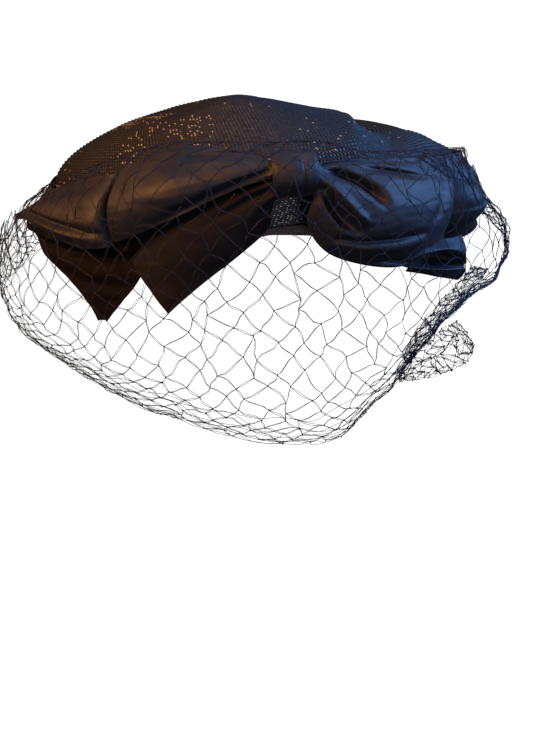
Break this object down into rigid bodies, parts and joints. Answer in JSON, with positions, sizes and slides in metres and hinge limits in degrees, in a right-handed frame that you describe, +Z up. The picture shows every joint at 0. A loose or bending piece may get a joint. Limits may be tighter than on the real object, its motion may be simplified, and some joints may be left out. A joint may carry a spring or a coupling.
{
  "type": "pillbox hat",
  "caption": "Pillbox hat of open navy straw with a domed crown, a draped satin swathe, a flat satin bow at the front and a coarse net face veil.",
  "frame": {"origin": "centre of the head opening, in the plane of the rim at its sides", "axes": "+Z up through the crown, the front with the bow and the veil faces -Y, +X is the wearer's left"},
  "size_m": [0.2715, 0.2658, 0.1601],
  "materials": {
    "navy_straw": "open machine-woven straw in fine concentric rows, lacquered, almost black navy",
    "maroon_grosgrain": "fine ribbed grosgrain ribbon, dark maroon brown",
    "navy_satin": "soft acetate satin with a broad sheen, dark navy",
    "navy_net": "coarse millinery net of doubled navy threads, matt"
  },
  "bodies": {
    "root": {"crown": "navy_straw", "rim_binding": "maroon_grosgrain", "satin_swathe": "navy_satin", "side_swathe_left": "navy_satin", "bow_loop_left": "navy_satin", "bow_loop_right": "navy_satin", "bow_tail_left_front": "navy_satin", "bow_tail_left_outer": "navy_satin", "bow_tail_right": "navy_satin", "bow_knot": "navy_satin", "veil": "navy_net"}
  },
  "joints": []
}
